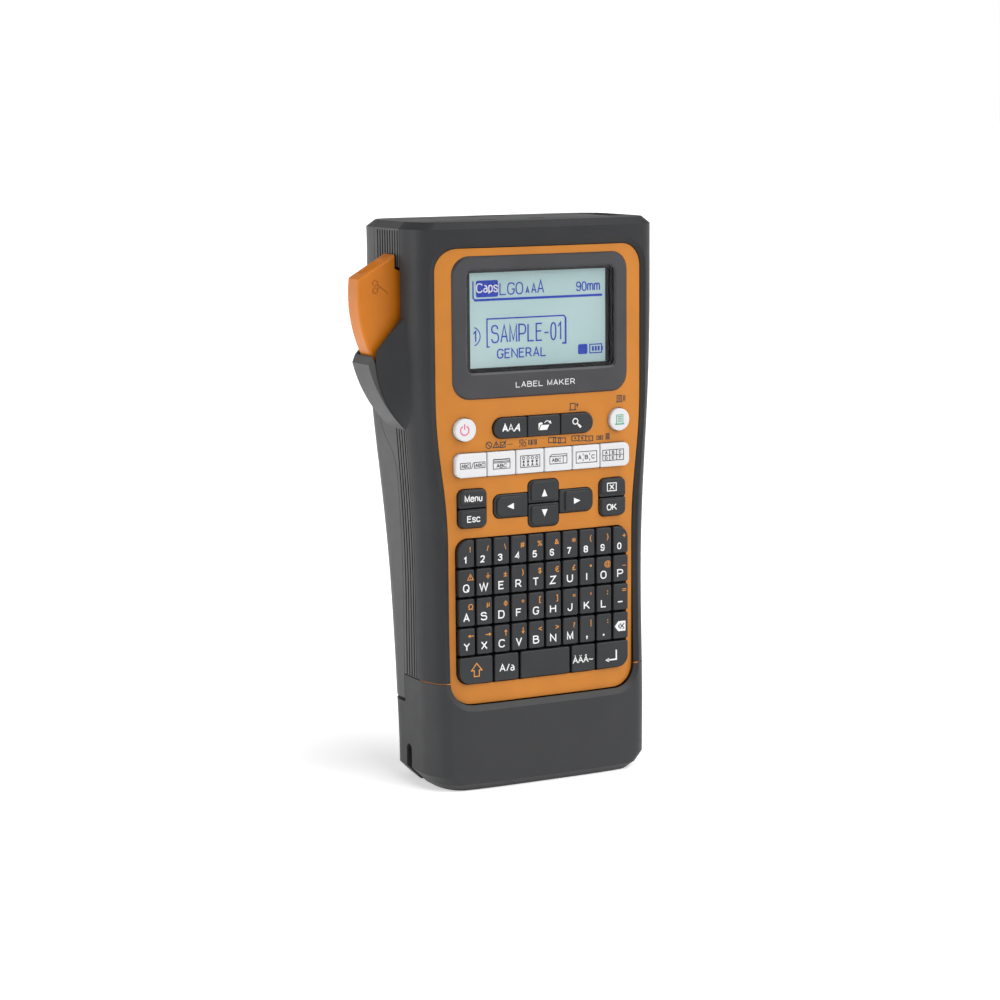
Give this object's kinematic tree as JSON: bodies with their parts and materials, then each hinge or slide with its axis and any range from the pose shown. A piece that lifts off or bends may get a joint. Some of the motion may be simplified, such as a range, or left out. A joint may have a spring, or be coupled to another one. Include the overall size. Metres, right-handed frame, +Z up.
{
  "type": "label maker",
  "caption": "Hand-held label maker with a screen and keyboard on its face, a thumb lever for the tape cutter on its left side, and a rear cover over the tape and battery.",
  "frame": {"origin": "centre of the flat lower end that the label maker stands on", "axes": "+X to the keyboard's right, +Y from the keys to the back, +Z up towards the tape exit"},
  "size_m": [0.1286, 0.0609, 0.2309],
  "materials": {
    "front_casing_plastic": "fine matt moulded texture",
    "casing_plastic": "fine matt moulded texture",
    "panel_orange": "satin moulded",
    "lever_orange": "satin moulded",
    "bezel_plastic": "semi-gloss",
    "window_clear": "clear",
    "display": "reflective screen",
    "mat_rubber": "matt",
    "key_rubber": "matt",
    "key_white": "matt",
    "circuit_board": "satin",
    "inner_plastic": "matt",
    "gear_plastic": "satin",
    "steel": "brushed",
    "aluminium": "as cast",
    "roller_rubber": "matt",
    "label_tape": "satin film",
    "ribbon": "gloss film",
    "battery_case": "matt",
    "contact_metal": "satin"
  },
  "bodies": {
    "housing": {"front_casing": "front_casing_plastic", "rear_casing": "casing_plastic", "base_cap": "casing_plastic", "face_panel": "panel_orange", "screen_bezel": "bezel_plastic", "screen_window": "window_clear", "display_module": "display", "keypad_mat": "mat_rubber", "key_board": "circuit_board", "main_board": "circuit_board", "chassis_frame": "inner_plastic", "casing_screws": "steel", "strap_bar": "steel", "cover_hinge_pin": "steel", "lever_pivot_pin": "steel", "cutter_spring": "steel", "drive_motor": "steel", "print_head": "aluminium", "heat_sink": "aluminium", "cassette_shell": "inner_plastic", "battery_pack": "battery_case", "battery_contacts": "contact_metal", "power_port": "contact_metal"},
    "power_key": {"power_key": "key_white"},
    "print_key": {"print_key": "key_white"},
    "font_key": {"font_key": "key_rubber"},
    "file_key": {"file_key": "key_rubber"},
    "search_key": {"search_key": "key_rubber"},
    "app_key_1": {"app_key_1": "key_white"},
    "app_key_2": {"app_key_2": "key_white"},
    "app_key_3": {"app_key_3": "key_white"},
    "app_key_4": {"app_key_4": "key_white"},
    "app_key_5": {"app_key_5": "key_white"},
    "app_key_6": {"app_key_6": "key_white"},
    "menu_key": {"menu_key": "key_rubber"},
    "escape_key": {"escape_key": "key_rubber"},
    "clear_key": {"clear_key": "key_rubber"},
    "ok_key": {"ok_key": "key_rubber"},
    "up_key": {"up_key": "key_rubber"},
    "down_key": {"down_key": "key_rubber"},
    "left_key": {"left_key": "key_rubber"},
    "right_key": {"right_key": "key_rubber"},
    "key_row_1": {"key_row_1": "key_rubber"},
    "key_row_2": {"key_row_2": "key_rubber"},
    "key_row_3": {"key_row_3": "key_rubber"},
    "key_row_4": {"key_row_4": "key_rubber"},
    "key_row_5": {"key_row_5": "key_rubber"},
    "rear_cover": {"rear_cover": "casing_plastic"},
    "cover_latch": {"cover_latch": "casing_plastic"},
    "cutter_lever": {"cutter_lever": "lever_orange"},
    "cutter_link": {"cutter_link": "gear_plastic"},
    "blade_carrier": {"blade_carrier": "gear_plastic", "cutter_blade": "steel"},
    "platen_arm": {"platen_arm": "gear_plastic"},
    "platen_roller": {"platen_roller": "roller_rubber"},
    "idler_gear": {"idler_gear": "gear_plastic"},
    "motor_pinion": {"motor_pinion": "gear_plastic"},
    "take_up_gear": {"take_up_gear": "gear_plastic", "ribbon_spool": "ribbon"},
    "tape_spool": {"tape_spool": "label_tape"}
  },
  "joints": [
    {"name": "power_key_press", "type": "slide", "parent": "housing", "child": "power_key", "axis": [0, 1, 0], "range_m": [0, 0.0008], "stiffness_N_per_m": 400},
    {"name": "print_key_press", "type": "slide", "parent": "housing", "child": "print_key", "axis": [0, 1, 0], "range_m": [0, 0.0008], "stiffness_N_per_m": 400},
    {"name": "font_key_press", "type": "slide", "parent": "housing", "child": "font_key", "axis": [0, 1, 0], "range_m": [0, 0.0008], "stiffness_N_per_m": 400},
    {"name": "file_key_press", "type": "slide", "parent": "housing", "child": "file_key", "axis": [0, 1, 0], "range_m": [0, 0.0008], "stiffness_N_per_m": 400},
    {"name": "search_key_press", "type": "slide", "parent": "housing", "child": "search_key", "axis": [0, 1, 0], "range_m": [0, 0.0008], "stiffness_N_per_m": 400},
    {"name": "app_key_1_press", "type": "slide", "parent": "housing", "child": "app_key_1", "axis": [0, 1, 0], "range_m": [0, 0.0008], "stiffness_N_per_m": 400},
    {"name": "app_key_2_press", "type": "slide", "parent": "housing", "child": "app_key_2", "axis": [0, 1, 0], "range_m": [0, 0.0008], "stiffness_N_per_m": 400},
    {"name": "app_key_3_press", "type": "slide", "parent": "housing", "child": "app_key_3", "axis": [0, 1, 0], "range_m": [0, 0.0008], "stiffness_N_per_m": 400},
    {"name": "app_key_4_press", "type": "slide", "parent": "housing", "child": "app_key_4", "axis": [0, 1, 0], "range_m": [0, 0.0008], "stiffness_N_per_m": 400},
    {"name": "app_key_5_press", "type": "slide", "parent": "housing", "child": "app_key_5", "axis": [0, 1, 0], "range_m": [0, 0.0008], "stiffness_N_per_m": 400},
    {"name": "app_key_6_press", "type": "slide", "parent": "housing", "child": "app_key_6", "axis": [0, 1, 0], "range_m": [0, 0.0008], "stiffness_N_per_m": 400},
    {"name": "menu_key_press", "type": "slide", "parent": "housing", "child": "menu_key", "axis": [0, 1, 0], "range_m": [0, 0.0008], "stiffness_N_per_m": 400},
    {"name": "escape_key_press", "type": "slide", "parent": "housing", "child": "escape_key", "axis": [0, 1, 0], "range_m": [0, 0.0008], "stiffness_N_per_m": 400},
    {"name": "clear_key_press", "type": "slide", "parent": "housing", "child": "clear_key", "axis": [0, 1, 0], "range_m": [0, 0.0008], "stiffness_N_per_m": 400},
    {"name": "ok_key_press", "type": "slide", "parent": "housing", "child": "ok_key", "axis": [0, 1, 0], "range_m": [0, 0.0008], "stiffness_N_per_m": 400},
    {"name": "up_key_press", "type": "slide", "parent": "housing", "child": "up_key", "axis": [0, 1, 0], "range_m": [0, 0.0008], "stiffness_N_per_m": 400},
    {"name": "down_key_press", "type": "slide", "parent": "housing", "child": "down_key", "axis": [0, 1, 0], "range_m": [0, 0.0008], "stiffness_N_per_m": 400},
    {"name": "left_key_press", "type": "slide", "parent": "housing", "child": "left_key", "axis": [0, 1, 0], "range_m": [0, 0.0008], "stiffness_N_per_m": 400},
    {"name": "right_key_press", "type": "slide", "parent": "housing", "child": "right_key", "axis": [0, 1, 0], "range_m": [0, 0.0008], "stiffness_N_per_m": 400},
    {"name": "key_row_1_press", "type": "slide", "parent": "housing", "child": "key_row_1", "axis": [0, 1, 0], "range_m": [0, 0.0008], "stiffness_N_per_m": 400},
    {"name": "key_row_2_press", "type": "slide", "parent": "housing", "child": "key_row_2", "axis": [0, 1, 0], "range_m": [0, 0.0008], "stiffness_N_per_m": 400},
    {"name": "key_row_3_press", "type": "slide", "parent": "housing", "child": "key_row_3", "axis": [0, 1, 0], "range_m": [0, 0.0008], "stiffness_N_per_m": 400},
    {"name": "key_row_4_press", "type": "slide", "parent": "housing", "child": "key_row_4", "axis": [0, 1, 0], "range_m": [0, 0.0008], "stiffness_N_per_m": 400},
    {"name": "key_row_5_press", "type": "slide", "parent": "housing", "child": "key_row_5", "axis": [0, 1, 0], "range_m": [0, 0.0008], "stiffness_N_per_m": 400},
    {"name": "cover_hinge", "type": "hinge", "parent": "housing", "child": "rear_cover", "pos_m": [0, 0.0218, 0.0306], "axis": [-1, 0, 0], "range_deg": [0, 35]},
    {"name": "latch_press", "type": "slide", "parent": "rear_cover", "child": "cover_latch", "axis": [0, 0, -1], "range_m": [0, 0.0015], "stiffness_N_per_m": 400},
    {"name": "lever_press", "type": "hinge", "parent": "housing", "child": "cutter_lever", "pos_m": [-0.0163, 0, 0.2017], "axis": [0, -1, 0], "range_deg": [0, 18], "stiffness_Nm_per_rad": 0.12, "springref_deg": -17.19, "deforming": ["cutter_spring"]},
    {"name": "link_swing", "type": "hinge", "parent": "housing", "child": "cutter_link", "pos_m": [0.014, 0, 0.21], "axis": [0, 1, 0], "range_deg": [0, 18.5]},
    {"name": "blade_slide", "type": "slide", "parent": "housing", "child": "blade_carrier", "axis": [1, 0, 0], "range_m": [0, 0.003]},
    {"name": "platen_release", "type": "hinge", "parent": "housing", "child": "platen_arm", "pos_m": [0.03894, 0, 0.1941], "axis": [0, -1, 0], "range_deg": [0, 3.8]},
    {"name": "roller_spin", "type": "hinge", "parent": "platen_arm", "child": "platen_roller", "pos_m": [0.0478, 0, 0.186], "axis": [0, 1, 0], "continuous": true},
    {"name": "idler_spin", "type": "hinge", "parent": "housing", "child": "idler_gear", "pos_m": [0.03242, 0, 0.16917], "axis": [0, 1, 0], "continuous": true},
    {"name": "pinion_spin", "type": "hinge", "parent": "housing", "child": "motor_pinion", "pos_m": [0.03, 0, 0.1465], "axis": [0, 1, 0], "continuous": true},
    {"name": "take_up_spin", "type": "hinge", "parent": "housing", "child": "take_up_gear", "pos_m": [0.01267, 0, 0.18057], "axis": [0, 1, 0], "continuous": true},
    {"name": "tape_spool_spin", "type": "hinge", "parent": "housing", "child": "tape_spool", "pos_m": [-0.0115, 0, 0.1825], "axis": [0, 1, 0], "continuous": true}
  ],
  "couplings": [
    {"joint": "link_swing", "follows": "lever_press", "ratio": 1},
    {"joint": "blade_slide", "follows": "lever_press", "m_per_rad": 0.00936},
    {"joint": "platen_release", "follows": "cover_hinge", "ratio": 0.10571},
    {"joint": "roller_spin", "follows": "idler_spin", "ratio": -5.3333},
    {"joint": "pinion_spin", "follows": "idler_spin", "ratio": -5.3333},
    {"joint": "take_up_spin", "follows": "idler_spin", "ratio": -5.3333}
  ]
}
